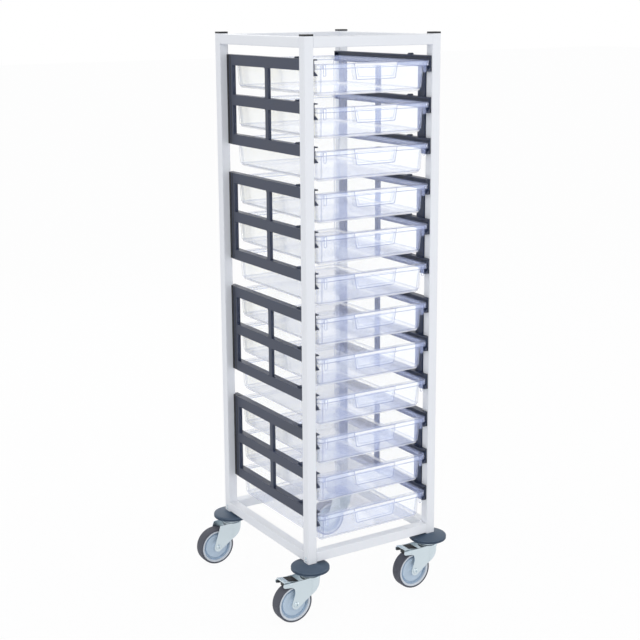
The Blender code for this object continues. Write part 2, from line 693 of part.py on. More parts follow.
def build_trays(root):
    tray = tray_mesh()
    middle = TRAY_FRONT + TRAY_DEPTH / 2
    first = POST_TOP - TOP_ROOM - RIM_BELOW_RUNNER - TRAY_HEIGHT
    for row in range(TRAY_COUNT):
        add_node(f"tray_{row + 1:02d}", tray, clear_plastic, root, (0, middle, first - row * TRAY_PITCH))


def build_castors(root):
    bumper = bumper_mesh()
    head = head_mesh()
    plain_fork = fork_mesh(False)
    braked_fork = fork_mesh(True)
    rim = rim_mesh()
    tyre = tyre_mesh()
    pedal = pedal_mesh()
    pin = brake_pin_mesh()
    pin_x, pin_z = brake_pin_place()
    for name, (side, end) in CORNERS.items():
        x = side * POST_X
        y = end * POST_Y
        add_node("bumper_" + name, bumper, slate_rubber, root, (x, y, CASTOR_HEIGHT + SEAT_GAP))
        add_node("castor_head_" + name, head, zinc, root, (x, y, 0))
        swivel = add_empty("swivel_" + name, root, (x, y, 0))
        add_node("castor_fork_" + name, braked_fork if name in BRAKED else plain_fork, zinc, swivel)
        spin = add_empty("spin_" + name, swivel, (-TRAIL, 0, WHEEL_RADIUS))
        add_node("wheel_centre_" + name, rim, pale_plastic, spin)
        add_node("tyre_" + name, tyre, grey_rubber, spin)
        if name in BRAKED:
            hinge = add_empty("hinge_" + name, swivel, (pin_x, 0, pin_z))
            add_node("brake_pin_" + name, pin, zinc, hinge)
            add_node("brake_pedal_" + name, pedal, zinc, hinge)


clear_scene()
trolley = new_collection("dressing_trolley")
construction = new_collection("construction")
steel = make_material("white_powder_coat", (0.82, 0.84, 0.88), 0.35)
black_plastic = make_material("black_plastic", (0.012, 0.012, 0.014), 0.45)
anthracite = make_material("anthracite_plastic", (0.062, 0.07, 0.09), 0.45)
clear_plastic = make_material("clear_polycarbonate", (0.86, 0.88, 0.96), 0.08, transmission=0.9)
slate_rubber = make_material("slate_bumper", (0.075, 0.105, 0.14), 0.55)
zinc = make_material("zinc_plate", (0.72, 0.74, 0.75), 0.3, metallic=1.0)
pale_plastic = make_material("pale_wheel_plastic", (0.4, 0.47, 0.57), 0.4)
grey_rubber = make_material("grey_tyre", (0.085, 0.085, 0.1), 0.6)

whole = add_empty("trolley", None, (FRAME_SHIFT, 0, 0))
build_frame(whole)
build_runners(whole)
build_trays(whole)
build_castors(whole)
bpy.context.view_layer.update()
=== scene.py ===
# Dressing trolley: finished surfaces, materials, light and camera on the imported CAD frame.
import json
import math

import bmesh
import bpy
import numpy as np
from mathutils import Matrix, Vector

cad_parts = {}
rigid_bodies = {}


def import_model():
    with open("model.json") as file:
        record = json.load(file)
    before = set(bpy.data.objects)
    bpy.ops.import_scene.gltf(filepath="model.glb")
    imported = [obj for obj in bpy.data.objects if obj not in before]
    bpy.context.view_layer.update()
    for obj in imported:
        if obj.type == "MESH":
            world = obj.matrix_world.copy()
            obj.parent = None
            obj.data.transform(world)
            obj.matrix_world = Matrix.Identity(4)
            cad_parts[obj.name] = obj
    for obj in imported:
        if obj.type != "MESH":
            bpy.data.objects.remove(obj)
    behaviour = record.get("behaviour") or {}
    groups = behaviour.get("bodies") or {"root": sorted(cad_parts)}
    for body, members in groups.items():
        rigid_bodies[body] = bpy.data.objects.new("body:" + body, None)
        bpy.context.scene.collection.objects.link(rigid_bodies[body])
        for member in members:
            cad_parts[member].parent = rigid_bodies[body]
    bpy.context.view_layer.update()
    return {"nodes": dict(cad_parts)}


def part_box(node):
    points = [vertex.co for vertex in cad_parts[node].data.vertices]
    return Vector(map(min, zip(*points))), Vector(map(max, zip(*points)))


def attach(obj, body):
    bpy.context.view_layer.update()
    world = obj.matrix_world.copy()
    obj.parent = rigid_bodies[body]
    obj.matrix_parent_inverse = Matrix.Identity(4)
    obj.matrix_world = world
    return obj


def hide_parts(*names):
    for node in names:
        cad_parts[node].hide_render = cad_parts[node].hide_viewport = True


for leftover in list(bpy.data.objects):
    bpy.data.objects.remove(leftover, do_unlink=True)
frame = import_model()
scene = bpy.context.scene
print("frame loaded:", len(frame["nodes"]), "nodes")


# Camera, from the straight edges of the frame. A small shift keeps the uprights as steep as they look.
cameraSetup = {"place": (-1.74979, -2.80887, 1.51942), "yaw": 31.6798, "pitch": 12.3094, "roll": 0.4121,
               "lens": 73.221, "sensor": 36, "shift": (0.0125, -0.0531), "clip": (0.1, 60)}


def makeCamera(setup):
    # looks along yaw and pitch, then turns by the roll about that line
    yaw, pitch, roll = (math.radians(setup[key]) for key in ("yaw", "pitch", "roll"))
    level = math.cos(pitch)
    ahead = Vector((math.sin(yaw) * level, math.cos(yaw) * level, -math.sin(pitch)))
    right = Vector((math.cos(yaw), -math.sin(yaw), 0))
    down = ahead.cross(right)
    across = math.cos(roll) * right + math.sin(roll) * down
    up = math.sin(roll) * right - math.cos(roll) * down
    turn = Matrix((across, up, -ahead)).transposed()
    data = bpy.data.cameras.new("camera")
    data.lens = setup["lens"]
    data.sensor_width = setup["sensor"]
    data.shift_x, data.shift_y = setup["shift"]
    data.clip_start, data.clip_end = setup["clip"]
    camera = bpy.data.objects.new("camera", data)
    scene.collection.objects.link(camera)
    camera.matrix_world = Matrix.Translation(setup["place"]) @ turn.to_4x4()
    scene.camera = camera


makeCamera(cameraSetup)


# Shapes. A part is an array of points and a list of faces; clear plastic adds painted marks for each point,
# its painted grey edge lines and white highlights.
def gridFaces(rows, columns, wrapRows=False, wrapColumns=False):
    # four-cornered faces between neighbouring points of a rows by columns grid
    r = np.arange(rows if wrapRows else rows - 1)
    c = np.arange(columns if wrapColumns else columns - 1)
    r, c = (a.ravel() for a in np.meshgrid(r, c, indexing="ij"))
    nextR, nextC = (r + 1) % rows, (c + 1) % columns
    corners = [r * columns + c, r * columns + nextC, nextR * columns + nextC, nextR * columns + c]
    return np.stack(corners, 1).tolist()


def closedFaces(rows, columns):
    # rings of points joined into a tube, with one face over the first ring and one over the last
    ends = [list(range(columns)), list(range((rows - 1) * columns, rows * columns))]
    return gridFaces(rows, columns, wrapColumns=True) + ends


def fillet(points, radius, steps=4):
    # each corner becomes a smooth bend: a quadratic curve pulled towards the corner
    most = 0.48  # share of the shorter side that a bend may take
    p = np.asarray(points, float)
    radius = np.broadcast_to(radius, len(p))
    back, ahead = np.roll(p, 1, 0) - p, np.roll(p, -1, 0) - p
    backLong, aheadLong = np.linalg.norm(back, axis=1), np.linalg.norm(ahead, axis=1)
    reach = np.minimum(radius, most * np.minimum(backLong, aheadLong))[:, None]
    start, end = p + back / backLong[:, None] * reach, p + ahead / aheadLong[:, None] * reach
    t = np.linspace(0, 1, steps)[None, :, None]
    bend = (1 - t) ** 2 * start[:, None] + 2 * t * (1 - t) * p[:, None] + t ** 2 * end[:, None]
    return bend.reshape(-1, 2)


def inset(outline, distance):
    # every point moves inwards by the distance, square to the outline there
    tangent = np.roll(outline, -1, 0) - np.roll(outline, 1, 0)
    tangent /= np.linalg.norm(tangent, axis=1)[:, None] + 1e-12
    x, y = outline.T
    area = 0.5 * np.sum(x * np.roll(y, -1) - y * np.roll(x, -1))
    normal = np.stack([-tangent[:, 1], tangent[:, 0]], 1) * np.sign(area)
    return outline + normal * distance


def arcPoints(centre, radius, angles):
    # centre plus radius times the cosine and sine of each angle
    return np.stack([centre[0] + radius * np.cos(angles), centre[1] + radius * np.sin(angles)], 1)


axisOrder = {"x": (2, 0, 1), "y": (0, 2, 1), "z": (0, 1, 2)}


def lay(flat, along, axis):
    # flat points and one value along the axis, put in x, y, z order: x takes (y, z), y (x, z), z (x, y)
    along = np.broadcast_to(along, flat.shape[:-1])
    return np.concatenate([flat, along[..., None]], -1)[..., axisOrder[axis]]


def prism(outline, low, high, axis, edge=0.0005, steps=3):
    # an outline carried straight from low to high, drawn in by a quarter round at both ends
    outline = np.asarray(outline, float)
    turn = np.linspace(0, math.pi / 2, steps)
    draw = np.concatenate([edge * (1 - np.sin(turn)), edge * (1 - np.cos(turn))])
    place = np.concatenate([low + edge * (1 - np.cos(turn)), high - edge * (1 - np.sin(turn))])
    flat = np.stack([inset(outline, d) for d in draw])
    points = lay(flat, place[:, None], axis)
    return points.reshape(-1, 3), closedFaces(*flat.shape[:2])


def hoop(outer, inner, low, high, axis):
    # a band between two matching outlines, closed all round
    flat = np.stack([outer, outer, inner, inner])
    points = lay(flat, np.array([low, high, high, low])[:, None], axis)
    return points.reshape(-1, 3), gridFaces(4, flat.shape[1], True, True)


def loft(first, last, low, high, axis):
    # straight lines between two outlines that have the same number of points
    flat = np.stack([first, last]).astype(float)
    points = lay(flat, np.array([low, high])[:, None], axis)
    return points.reshape(-1, 3), closedFaces(*flat.shape[:2])


def turned(profile, steps, axis="z", closed=True):
    # a profile of (radius, height) turned about the axis: radius times cosine and sine of the angle
    profile = np.asarray(profile, float)
    angle = np.linspace(0, 2 * math.pi, steps, endpoint=False)
    ring = np.stack([np.cos(angle), np.sin(angle)], 1)
    flat = profile[:, None, :1] * ring[None]
    points = lay(flat, profile[:, None, 1], axis)
    return points.reshape(-1, 3), gridFaces(len(profile), steps, closed, True)


def roundRings(rows, perCorner=7, guard=0.003):
    # rounded rectangles stacked up: each row gives half width, half depth, corner radius and height;
    # every corner arc has one more point before and after it, a guard's length along the straight side
    rows = np.asarray(rows, float)
    quarter = np.linspace(0, math.pi / 2, perCorner)[[0, *range(perCorner), -1]]
    past = np.tile(np.array([-guard] + [0] * perCorner + [guard]), 4)
    angle = np.concatenate([quarter + k * math.pi / 2 for k in range(4)])
    sideX = np.repeat([1, -1, -1, 1], perCorner + 2)
    sideY = np.repeat([1, 1, -1, -1], perCorner + 2)
    halfX, halfY, radius, height = (rows[:, k:k + 1] for k in range(4))
    x = sideX * (halfX - radius) + radius * np.cos(angle) - past * np.sin(angle)
    y = sideY * (halfY - radius) + radius * np.sin(angle) + past * np.cos(angle)
    points = np.stack([x, y, np.broadcast_to(height, x.shape)], -1)
    return points.reshape(-1, 3), len(rows), points.shape[1]


def square(halfX, halfY, radius, centre=(0, 0), steps=4):
    # half sizes to both sides of a centre, with every corner bent round
    corners = np.array([(1, 1), (-1, 1), (-1, -1), (1, -1)]) * (halfX, halfY) + np.asarray(centre)
    return fillet(corners, radius, steps)


def rect(lowA, lowB, highA, highB, radius=0.0006, steps=3):
    # a rectangle between two opposite corners, with every corner bent round
    return fillet([(lowA, lowB), (highA, lowB), (highA, highB), (lowA, highB)], radius, steps)


def moved(part, shift):
    # every point plus the shift
    return part[0] + np.asarray(shift, float), *part[1:]


def flipped(part, side):
    # x times the side, so that -1 mirrors the part; makePiece turns its faces outwards again
    return part[0] * (side, 1, 1), *part[1:]


def toned(part, line=0.0, bar=0.0):
    # marks a part of clear plastic with painted light: how much it shows as a painted grey edge line, and
    # how much as a painted white highlight bar
    paintedTone = np.zeros((len(part[0]), 3))
    paintedTone[:, 0], paintedTone[:, 1] = line, bar
    return part[0], part[1], paintedTone


def makePiece(name, parts, material, body, stands=(), sharp=38):
    # parts are laid into one mesh, welded, turned face outwards and shaded smooth up to the sharp angle
    counts = np.cumsum([0] + [len(part[0]) for part in parts])
    points = np.concatenate([part[0] for part in parts])
    faces = [[index + start for index in face] for part, start in zip(parts, counts) for face in part[1]]
    mesh = bpy.data.meshes.new(name)
    mesh.from_pydata(points.tolist(), [], faces)
    if len(parts[0]) == 3:
        paintedTone = mesh.attributes.new("paintedTone", "FLOAT_VECTOR", "POINT")
        paintedTone.data.foreach_set("vector", np.concatenate([part[2] for part in parts]).ravel())
    work = bmesh.new()
    work.from_mesh(mesh)
    bmesh.ops.remove_doubles(work, verts=work.verts, dist=1e-7)
    bmesh.ops.recalc_face_normals(work, faces=work.faces)
    work.to_mesh(mesh)
    work.free()
    mesh.shade_smooth()
    mesh.set_sharp_from_angle(angle=math.radians(sharp))
    mesh.materials.append(material)
    piece = bpy.data.objects.new(name, mesh)
    scene.collection.objects.link(piece)
    # large faces stay flat beside their round edges
    flat = piece.modifiers.new("flatFaces", "WEIGHTED_NORMAL")
    flat.keep_sharp = True
    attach(piece, body)
    if stands:
        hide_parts(*stands)


# Materials
def linear(code):
    # sRGB hex to linear light: a straight line near black, a power of 2.4 above it
    value = np.array([int(code[k:k + 2], 16) for k in (0, 2, 4)]) / 255
    return (*np.where(value <= 0.04045, value / 12.92, ((value + 0.055) / 1.055) ** 2.4), 1.0)


def addNode(tree, kind, settings=(), links=()):
    # one node with its settings, and links given as (socket of this node, node, its output)
    made = tree.nodes.new(kind)
    for key, value in dict(settings).items():
        if isinstance(key, str) and hasattr(made, key):
            setattr(made, key, value)
        else:
            made.inputs[key].default_value = value
    for socket, source, output in links:
        tree.links.new(made.inputs[socket], source.outputs[output])
    return made


def startMaterial(name, settings):
    # a node tree with one main shader, its output and the piece's own coordinates
    material = bpy.data.materials.new(name)
    material.use_nodes = True
    tree = material.node_tree
    tree.nodes.clear()
    shader = addNode(tree, "ShaderNodeBsdfPrincipled", settings)
    addNode(tree, "ShaderNodeOutputMaterial", (), [("Surface", shader, "BSDF")])
    place = addNode(tree, "ShaderNodeTexCoord")
    return material, tree, shader, place


def grained(name, colours, roughness, grainMm, bumpMm, patchMm=60, settings=()):
    # two close colours in soft patches, a fine surface grain, and roughness that drifts with the patches
    material, tree, shader, place = startMaterial(name, settings)
    patch = addNode(tree, "ShaderNodeTexNoise", {"Scale": 1000 / patchMm, "Detail": 3.0, "Roughness": 0.55},
                    [("Vector", place, "Object")])
    pair = {"data_type": "RGBA", 6: linear(colours[0]), 7: linear(colours[1])}
    mix = addNode(tree, "ShaderNodeMix", pair, [(0, patch, "Fac")])
    tree.links.new(shader.inputs["Base Color"], mix.outputs[2])
    sheen = addNode(tree, "ShaderNodeMapRange", {"To Min": roughness[0], "To Max": roughness[1]},
                    [("Value", patch, "Fac")])
    tree.links.new(shader.inputs["Roughness"], sheen.outputs["Result"])
    grain = addNode(tree, "ShaderNodeTexNoise", {"Scale": 1000 / grainMm, "Detail": 2.0},
                    [("Vector", place, "Object")])
    bump = addNode(tree, "ShaderNodeBump", {"Strength": 0.35, "Distance": bumpMm / 1000},
                   [("Height", grain, "Fac")])
    tree.links.new(shader.inputs["Normal"], bump.outputs["Normal"])
    return material


# steel with a white powder coat: satin, faint orange peel about 2 mm across, cool white
powderCoat = grained("whitePowderCoat", ("e9ecf2", "eff2f7"), (0.34, 0.42), 2.2, 0.05, 180)
# polyethylene end caps: moulded black, a little waxy; the same black fills the stile strips, painted shade
# in the runners' recesses
capAndShadeStripPlastic = grained("blackPolyethyleneAndPaintedShade", ("101114", "18191d"), (0.42, 0.52), 1.0, 0.03, 20)
# ABS runner frames: moulded anthracite, nearly black in itself and lifted by a strong satin sheen,
# with a fine spark-eroded grain that is drawn coarser than life to show
runnerPlastic = grained("anthraciteAbs", ("1b273f", "24314d"), (0.40, 0.50), 1.1, 0.05, 70,
                        {"Specular IOR Level": 0.7})
# thermoplastic bumpers: slate, soft satin
bumperPlastic = grained("slateElastomer", ("415265", "4b5d72"), (0.45, 0.58), 1.4, 0.05, 30)
# grey rubber tread: matt with fine scuffs
treadRubber = grained("greyTreadRubber", ("4a4d57", "595b66"), (0.60, 0.75), 1.5, 0.12, 18)
# polypropylene wheel centres: moulded blue-grey, and their paler outer ring
wheelPlastic = grained("blueGreyPolypropylene", ("bbcdde", "c4d6e7"), (0.36, 0.46), 1.6, 0.04, 25)
ringPlastic = grained("palePolypropylene", ("d0d8e1", "dce2ea"), (0.30, 0.40), 1.6, 0.03, 25)
# nylon brake shoe: black and matt; the same black makes the pad on the pedal, which is painted shade
shoeAndShadePadPlastic = grained("blackNylonAndPaintedShade", ("131417", "1c1e22"), (0.5, 0.6), 1.2, 0.05, 15)
# bright zinc on pressed steel: smooth metal with a faint blue cast, its gloss drifting over a few cm
zincPlate = grained("brightZinc", ("ccd8df", "d8e4ea"), (0.28, 0.36), 9.0, 0.01, 35, {"Metallic": 1.0})

# Light let through and sent back, the latter also glowing as painted light: by plain walls, at a low angle,
# by painted grey edge lines, by painted white highlight bars, and for rays that should pass unchanged
trayClear = {"through": ("f4f3ec", "272727", "adafb6", "999999", "ffffff"),
             "givenAndGlow": ("4f5670", "818186", "656c84", "cececf", "000000"),
             "glancePower": 4.0, "rippleMm": 45, "rippleDeep": 0.0006, "rippleStrength": 0.15,
             # Emission Strength gives every surface a faint glow: painted light, not a lamp
             "shader": {"Roughness": 0.07, "IOR": 1.58, "Specular IOR Level": 0.25,
                        "Emission Strength": 0.1}}


def tinted(tree, colours, drivers):
    # starts from the first colour and goes over to each next one as its driver rises from 0 to 1
    mix = None
    for code, (driver, output) in zip(colours[1:], drivers):
        links = [(0, driver, output)]
        if mix:
            links.append((6, mix, 2))
        pair = {"data_type": "RGBA", 6: linear(colours[0]), 7: linear(code)}
        mix = addNode(tree, "ShaderNodeMix", pair, links)
    return mix


def clearPlastic(name, setup):
    # moulded polycarbonate: each surface lets most light through and gives back the rest, more of the
    # blue, so that it stays white over white and turns lavender over dark parts; milky at a low angle,
    # with painted grey lines along its edges and painted white highlights on some bars; it also glows
    # faintly in the colour it gives back, painted light that lifts it towards white
    material, tree, shader, place = startMaterial(name, setup["shader"])
    paintedTone = addNode(tree, "ShaderNodeAttribute", {"attribute_name": "paintedTone"})
    # the painted marks: grey edge lines painted in as shade, white bars painted in as highlight
    paintedMarks = addNode(tree, "ShaderNodeSeparateXYZ", (), [("Vector", paintedTone, "Vector")])
    slant = addNode(tree, "ShaderNodeLayerWeight", {"Blend": 0.5})
    glance = addNode(tree, "ShaderNodeMath", {"operation": "POWER", 1: setup["glancePower"]},
                     [(0, slant, "Facing")])
    path = addNode(tree, "ShaderNodeLightPath")
    passing = addNode(tree, "ShaderNodeMath", {"operation": "MAXIMUM"},
                      [(0, path, "Is Shadow Ray"), (1, path, "Is Diffuse Ray")])
    drivers = ((glance, "Value"), (paintedMarks, "X"), (paintedMarks, "Y"), (passing, "Value"))
    through = tinted(tree, setup["through"], drivers)
    givenAndGlow = tinted(tree, setup["givenAndGlow"], drivers)
    tree.links.new(shader.inputs["Base Color"], givenAndGlow.outputs[2])
    # the colour it gives back also glows: painted light
    tree.links.new(shader.inputs["Emission Color"], givenAndGlow.outputs[2])
    ripple = addNode(tree, "ShaderNodeTexNoise", {"Scale": 1000 / setup["rippleMm"], "Detail": 1.0},
                     [("Vector", place, "Object")])
    bump = addNode(tree, "ShaderNodeBump",
                   {"Strength": setup["rippleStrength"], "Distance": setup["rippleDeep"]},
                   [("Height", ripple, "Fac")])
    tree.links.new(shader.inputs["Normal"], bump.outputs["Normal"])
    clear = addNode(tree, "ShaderNodeBsdfTransparent", (), [("Color", through, 2)])
    both = addNode(tree, "ShaderNodeAddShader", (), [(0, clear, "BSDF"), (1, shader, "BSDF")])
    output = next(node for node in tree.nodes if node.type == "OUTPUT_MATERIAL")
    tree.links.new(output.inputs["Surface"], both.outputs["Shader"])
    return material


trayPlastic = clearPlastic("clearPolycarbonate", trayClear)
print("materials ready")


# Frame: rounded square tubes that run into each other, and black caps
tube = {"half": 0.0125, "corner": 0.0024, "reach": 0.00045, "edge": 0.0003,
        "capCorner": 0.0022, "capEdge": 0.0007, "capLip": 0.0013, "capProud": 0.0002}
postSides = {"front_left": -1, "front_right": 1, "rear_left": -1, "rear_right": 1}
postAxis = {name: tuple((a + b) / 2 for a, b in zip(*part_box("post_" + name)))[:2] for name in postSides}
middleX = sum(x for x, y in postAxis.values()) / 4
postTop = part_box("post_front_left")[1].z
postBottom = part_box("post_front_left")[0].z


def tubeAlong(node, axis):
    # a rounded rectangle as wide as the node's box, carried along it; rails reach a little further
    low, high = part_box(node)
    k = "xyz".index(axis)
    other = [n for n in (0, 1, 2) if n != k]
    half = [(high[n] - low[n]) / 2 for n in other]
    centre = [(high[n] + low[n]) / 2 for n in other]
    reach = 0 if axis == "z" else tube["reach"]
    outline = square(*half, tube["corner"], centre)
    return prism(outline, low[k] - reach, high[k] + reach, axis, tube["edge"])


for name in postSides:
    makePiece("tube_" + name, [tubeAlong("post_" + name, "z")], powderCoat, "frame",
              ["post_" + name])
for level in ("top", "bottom"):
    for side, axis in (("front", "x"), ("rear", "x"), ("left", "y"), ("right", "y")):
        node = f"{level}_rail_{side}"
        makePiece(f"rail_{level}_{side}", [tubeAlong(node, axis)], powderCoat, "frame",
                  [node])

for name, (x, y) in postAxis.items():
    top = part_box("end_cap_" + name)[1].z
    half = tube["half"] + tube["capProud"]
    outline = square(half, half, tube["capCorner"], (x, y))
    lid = prism(outline, postTop - tube["capLip"], top, "z", tube["capEdge"], 5)
    makePiece("cap_" + name, [lid], capAndShadeStripPlastic, "frame", ["end_cap_" + name])
print("frame tubes and caps done")


# Screws that hold the castor plugs, two on each outer face. Floor, shoulder and dome are shares of the
# rise, and flare is the width of the recess at its top as a share of that at its floor.
screw = {"radius": 0.0032, "rise": 0.0016, "heights": (0.0068, 0.0145), "slot": 0.0015, "sunk": 0.0002,
         "floor": 0.55, "shoulder": 0.35, "dome": 0.65, "flare": 1.25, "domeStart": 0.75}


def panHead(s):
    # a low dome, radius times sine and rise times cosine of an angle, with a round recess in its middle
    radius, rise, slot = s["radius"], s["rise"], s["slot"]
    a = np.linspace(s["domeStart"], math.pi / 2, 5)
    dome = np.stack([radius * np.sin(a), rise * s["shoulder"] + rise * s["dome"] * np.cos(a)], 1)
    recess = [(0, rise * s["floor"]), (slot, rise * s["floor"]), (slot * s["flare"], rise)]
    foot = [(radius, -s["sunk"]), (0, -s["sunk"])]
    return turned(np.concatenate([recess, dome, foot]), 20, "x", closed=False)


screwHead = panHead(screw)
for name, (x, y) in postAxis.items():
    side = postSides[name]
    face = x + side * tube["half"]
    heads = [moved(flipped(screwHead, side), (face, y, postBottom + up)) for up in screw["heights"]]
    makePiece("screws_" + name, heads, zincPlate, "frame")
print("screws done")


# Runner frames: three channels for the tray rims on three stiles, drawn for the right side and flipped
# for the left; the stiles stand in different places on the two sides
runner = {"tip": 0.1587, "web": 0.1672, "back": 0.1707, "lip": 0.1775, "lipWall": 0.003, "height": 0.027,
          "sheet": 0.0032, "start": -0.1952, "end": 0.1952, "mouth": -0.2175, "mouthHeight": 0.0388,
          "mouthEdge": 0.0008, "wedge": (0.0105, 0.0025), "stop": 0.2018, "stopWall": 0.003,
          "bump": (-0.1445, -0.1285), "bumpRise": 0.0045, "bumpSoft": 0.001, "pitch": 0.1012,
          "soft": 0.0007, "fine": 0.0003, "lap": 0.001, "windowCorner": 0.004, "windowLap": 0.0006,
          "stileDrop": 0.001, "stileRoot": 0.0004, "stileSoft": 0.0012,
          "stiles": {"left": {"front": 0.030, "middle": (-0.01550, 0.00000), "rear": 0.031},
                     "right": {"front": 0.030, "middle": (0.00620, 0.02170), "rear": 0.025}}}
# Edge of the rear stile: places are distances from the runner's end, depths are from its lip;
# a black strip of painted shade, filling a recess, has its depth, its front place, its drop below the lip,
# its rear place and its corner
rearEdge = {"bead": 0.0035, "beadAt": 0.0145, "groove": (0.0232, 0.0180), "grooveDeep": 0.0070,
            "slot": (0.0108, 0.0010), "slotDeep": 0.0085, "wallDrop": 0.001, "shadeStripGap": 0.0004,
            "shadeStrips": ((0.0080, 0.0106, 0.0008, 0.0011, 0.0008),
                       (0.0065, 0.0231, 0.0003, 0.0181, 0.0005))}


def windowCorner(y, z, sideY, sideZ, low, high):
    # a corner of a window filled in up to a quarter circle
    radius, lap = runner["windowCorner"], runner["windowLap"]
    a = np.linspace(0, math.pi / 2, 6)
    curve = np.stack([radius - radius * np.sin(a), radius - radius * np.cos(a)], 1)
    outline = np.concatenate([[(-lap, -lap), (radius, -lap)], curve, [(-lap, radius)]])
    return prism(outline * (sideY, sideZ) + (y, z), low, high, "x", runner["fine"], 2)


def rearStile(column, end, root):
    # plan of the rear stile, from the front: flat band, groove, half-round bead, slot and thin end wall
    e, lip = rearEdge, runner["lip"]
    grooveFloor, slotFloor, wallTop = lip - e["grooveDeep"], lip - e["slotDeep"], lip - e["wallDrop"]
    grooveFront, grooveRear = (end - place for place in e["groove"])
    slotFront, slotRear = (end - place for place in e["slot"])
    band = [(root, column), (lip, column), (lip, grooveFront), (grooveFloor, grooveFront),
            (grooveFloor, grooveRear)]
    half = np.linspace(-math.pi / 2, math.pi / 2, 9)
    bead = arcPoints((lip - e["bead"], end - e["beadAt"]), e["bead"], half)
    walls = [(slotFloor, slotFront), (slotFloor, slotRear), (wallTop, slotRear), (wallTop, end),
             (root, end)]
    return np.concatenate([band, bead, walls])


def stileShadeStrips(low):
    # black strips of painted shade that fill the slot and the groove of the rear stile, carried up its
    # whole height
    lip, end, gap = runner["lip"], runner["end"], rearEdge["shadeStripGap"]
    outlines = [rect(lip - deep, end - front, lip - drop, end - rear, soft)
                for deep, front, drop, rear, soft in rearEdge["shadeStrips"]]
    return [prism(outline, low + gap, -gap, "z") for outline in outlines]


def runnerParts(word):
    # each channel is a section carried along y, widened to a wedge at its mouth and repeated at the pitch;
    # the stiles are plans carried up z
    r = runner
    stiles = r["stiles"][word]
    tip, web, back, lip, height, sheet = (r[k] for k in ("tip", "web", "back", "lip", "height", "sheet"))
    start, end, mouth, deep, lap = (r[k] for k in ("start", "end", "mouth", "mouthHeight", "lap"))
    column = end - stiles["rear"]
    lipIn, stopEnd = lip - r["lipWall"], r["stop"] + r["stopWall"]
    channel = [(tip, 0), (back, 0), (back, -height), (tip, -height), (tip, sheet - height),
               (web, sheet - height), (web, -sheet), (tip, -sheet)]
    section = [(tip, 0), (lip, 0), (lip, -height), (lipIn, -height), (lipIn, -sheet), (back, -sheet)]
    section += channel[2:]
    rampOut, rampIn = (up - deep for up in r["wedge"])
    wedgeFront = [(tip, -deep), (back, -deep), (back, rampOut), (web, rampOut), (tip, rampIn)]
    floor = sheet - height
    wedgeRear = [(tip, -deep), (back, -deep), (back, floor), (web, floor), (tip, floor)]
    first, last = r["bump"]
    rise = r["bumpRise"]
    bump = [(first, -lap), (last, -lap), (last - rise - lap, rise), (first + lap, rise)]
    row = [
        prism(fillet(section, r["soft"], 3), start, column + lap, "y"),
        prism(fillet(channel, r["soft"], 3), column, stopEnd, "y"),
        prism(rect(tip, -height, back, 0), r["stop"], stopEnd, "y"),
        prism(rect(tip, -sheet, back, 0), mouth, start + lap, "y", r["mouthEdge"]),
        prism(rect(web, -deep, back, 0), mouth, start + lap, "y", r["mouthEdge"]),
        loft(wedgeFront, wedgeRear, mouth, start + lap, "y"),
        prism(fillet(bump, r["bumpSoft"], 4), tip + lap, back - lap, "x"),
    ]
    parts = [moved(part, (0, 0, -k * r["pitch"])) for k in range(3) for part in row]
    low, high = -2 * r["pitch"] - height, -sheet / 2
    face, root = lip - r["stileDrop"], web + r["stileRoot"]
    near, far = stiles["middle"]
    parts.append(prism(rect(root, start, face, start + stiles["front"]), low + lap, high, "z"))
    parts.append(prism(rect(root, near, face, far, r["stileSoft"]), low + lap, high, "z"))
    parts.append(prism(rearStile(column, end, root), low, 0, "z", r["fine"]))
    windows = ((start + stiles["front"], near), (far, column))
    for k in range(2):
        under, over = -k * r["pitch"] - height, -(k + 1) * r["pitch"]
        for front, rear in windows:
            for y, sideY in ((front, 1), (rear, -1)):
                parts.append(windowCorner(y, under, sideY, -1, lipIn, face))
                parts.append(windowCorner(y, over, sideY, 1, lipIn, face))
    return parts


shadeStripParts = stileShadeStrips(-2 * runner["pitch"] - runner["height"])
for side, word in ((-1, "left"), (1, "right")):
    runnerShape = runnerParts(word)
    for number in (1, 2, 3, 4):
        node = f"runner_frame_{word}_{number}"
        place = (middleX, 0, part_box(node)[1].z - runner["bumpRise"])
        parts = [moved(flipped(part, side), place) for part in runnerShape]
        makePiece(f"runners_{word}_{number}", parts, runnerPlastic, "frame", [node])
        # black strips of painted shade in the rear stile's slot and groove
        parts = [moved(flipped(part, side), place) for part in shadeStripParts]
        makePiece(f"stile_shade_strips_{word}_{number}", parts, capAndShadeStripPlastic, "frame")
print("runner frames done")


